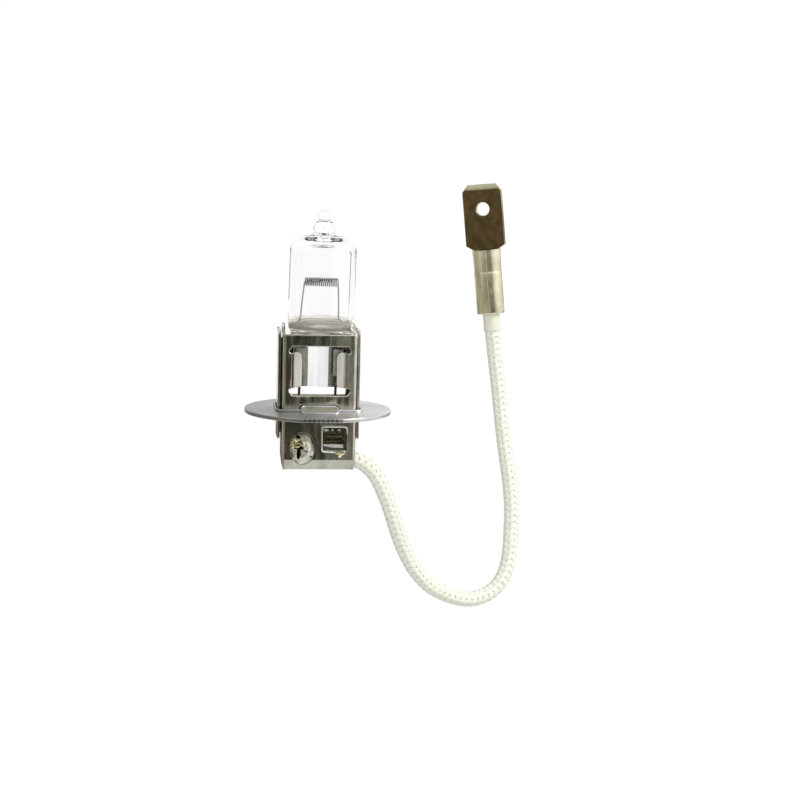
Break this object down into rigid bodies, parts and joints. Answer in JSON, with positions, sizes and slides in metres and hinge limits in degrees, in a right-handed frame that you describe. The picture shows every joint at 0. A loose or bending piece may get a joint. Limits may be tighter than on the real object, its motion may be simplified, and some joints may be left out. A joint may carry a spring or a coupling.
{
  "type": "headlight bulb",
  "caption": "Halogen headlight bulb: glass envelope with a transverse filament in a pressed holder, round locating flange, braided lead and blade terminal.",
  "frame": {"origin": "centre of the locating flange's glass-side face, on the base's axis", "axes": "+Z along the base's axis towards the glass tip; -Y is the front, with the skirt's ground joint and crimp window; the lead leaves the skirt on the +X side"},
  "size_m": [0.0441, 0.0268, 0.066],
  "materials": {
    "plated_steel": "satin nickel plating on the flange",
    "holder_steel": "half-bright nickel-plated pressed sheet",
    "hard_glass": "clear hard glass",
    "tungsten": "drawn tungsten wire, grey",
    "molybdenum": "grey molybdenum wire and foil",
    "lead_wire": "oxidised nickel-plated wire",
    "steatite": "unglazed steatite",
    "solder": "dull solder, slightly crusted",
    "brass": "bright brass strap",
    "crimp_tin": "tinned brass",
    "copper": "bare copper strands",
    "woven_sleeve": "woven glass-fibre sleeve, ivory",
    "white_sleeve": "white shrunk sleeve",
    "tinned_blade": "tinned brass, slightly tarnished"
  },
  "bodies": {
    "root": {"mounting_flange": "plated_steel", "front_clamp_shell": "holder_steel", "rear_clamp_shell": "holder_steel", "glass_envelope": "hard_glass", "filament_coil": "tungsten", "support_post_ground": "molybdenum", "support_post_live": "molybdenum", "seal_foil_ground": "molybdenum", "seal_foil_live": "molybdenum", "outer_wire_ground": "lead_wire", "outer_wire_live": "lead_wire", "base_insulator": "steatite", "ground_solder_joint": "solder", "ground_strap": "brass", "live_crimp": "crimp_tin", "strand_tail_live": "copper", "braided_lead": "woven_sleeve", "end_sleeve": "white_sleeve", "strand_tail_terminal": "copper", "blade_terminal": "tinned_blade"}
  },
  "joints": []
}
